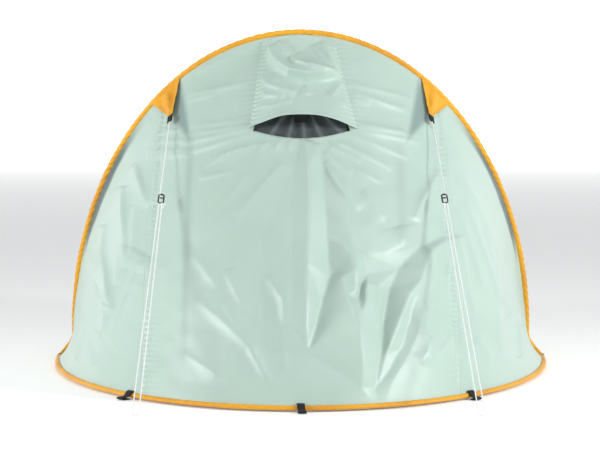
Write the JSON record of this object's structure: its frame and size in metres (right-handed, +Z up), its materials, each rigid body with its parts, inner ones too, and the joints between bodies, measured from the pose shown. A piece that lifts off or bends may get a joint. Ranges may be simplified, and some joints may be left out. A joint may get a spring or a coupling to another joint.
{
  "type": "pop up tent",
  "caption": "Low pop up tent on two closed springy hoops, with leaning arches, propped vent hood, zipped door, groundsheet and guylines.",
  "frame": {"origin": "on the floor, under the centre of the ground oval", "axes": "+Z up, -Y towards the rear end with the vent hood and the guylines, +Y towards the door end"},
  "size_m": [1.4472, 2.5489, 0.953],
  "materials": {
    "mint_cloth": "thin coated polyester, slight sheen",
    "orange_cloth": "woven polyester sleeve cloth",
    "glass_fibre": "solid glass fibre rod",
    "ferrule_metal": "plain metal tube",
    "groundsheet_cloth": "coated groundsheet cloth, dull",
    "net": "fine mosquito net",
    "black_webbing": "flat woven webbing",
    "white_line": "braided thin line",
    "black_plastic": "moulded, fine grain",
    "zip_metal": "cast zip slider, dark",
    "zip_tape": "woven zip tape with a plastic coil",
    "black_cord": "thin braided cord"
  },
  "bodies": {
    "rear_half": {"groundsheet_rear": "groundsheet_cloth", "guyline_left": "white_line", "guyline_return_left": "white_line", "guyline_return_right": "white_line", "guyline_right": "white_line", "rear_arch_rod": "glass_fibre", "rear_arch_sleeve": "orange_cloth", "rear_ferrules": "ferrule_metal", "rear_ground_rod": "glass_fibre", "rear_ground_sleeve": "orange_cloth", "rear_guy_patch_left": "orange_cloth", "rear_guy_patch_right": "orange_cloth", "rear_guy_tab_left": "black_webbing", "rear_guy_tab_right": "black_webbing", "rear_panel_centre": "mint_cloth", "rear_panel_left": "mint_cloth", "rear_panel_right": "mint_cloth", "rear_peg_loop_centre": "black_webbing", "rear_peg_loop_left": "black_webbing", "rear_peg_loop_right": "black_webbing", "roof_panel": "mint_cloth", "vent_hood": "mint_cloth", "vent_net": "net"},
    "front_half": {"door_net": "net", "door_toggle": "black_plastic", "door_zip": "zip_tape", "front_arch_rod": "glass_fibre", "front_arch_sleeve": "orange_cloth", "front_ferrules": "ferrule_metal", "front_ground_rod": "glass_fibre", "front_ground_sleeve": "orange_cloth", "front_guy_patch_left": "orange_cloth", "front_guy_patch_right": "orange_cloth", "front_guy_tab_left": "black_webbing", "front_guy_tab_right": "black_webbing", "front_panel_centre": "mint_cloth", "front_panel_left": "mint_cloth", "front_panel_right": "mint_cloth", "front_peg_loop_centre": "black_webbing", "front_peg_loop_left": "black_webbing", "front_peg_loop_right": "black_webbing", "groundsheet_front": "groundsheet_cloth", "toggle_loop": "black_cord"},
    "door": {"door_panel": "mint_cloth"},
    "zip_runner": {"zip_pull": "black_cord", "zip_slider": "zip_metal"},
    "vent_prop_arm": {"vent_prop": "black_plastic"},
    "adjuster_left": {"line_adjuster_left": "black_plastic"},
    "adjuster_right": {"line_adjuster_right": "black_plastic"}
  },
  "joints": [
    {"name": "fold", "type": "hinge", "parent": "rear_half", "child": "front_half", "pos_m": [0, 0, 0.01], "axis": [1, 0, 0], "range_deg": [0, 64], "deforming": ["roof_panel"]},
    {"name": "door_swing", "type": "hinge", "parent": "front_half", "child": "door", "pos_m": [0.3123, 1.04418, 0.08607], "axis": [0.0183, 0.5527, -0.8331], "range_deg": [0, 110]},
    {"name": "zip_run", "type": "slide", "parent": "front_half", "child": "zip_runner", "axis": [0.019, -0.5527, 0.8331], "range_m": [0, 0.56]},
    {"name": "vent_prop_fold", "type": "hinge", "parent": "rear_half", "child": "vent_prop_arm", "pos_m": [0, -0.77583, 0.70371], "axis": [-1, 0, 0], "range_deg": [0, 78], "deforming": ["vent_hood"]},
    {"name": "adjuster_left_run", "type": "slide", "parent": "rear_half", "child": "adjuster_left", "axis": [-0.0511, -0.691, -0.721], "range_m": [0, 0.2], "deforming": ["guyline_return_left"]},
    {"name": "adjuster_right_run", "type": "slide", "parent": "rear_half", "child": "adjuster_right", "axis": [0.0899, -0.6891, -0.7191], "range_m": [0, 0.2], "deforming": ["guyline_return_right"]}
  ]
}
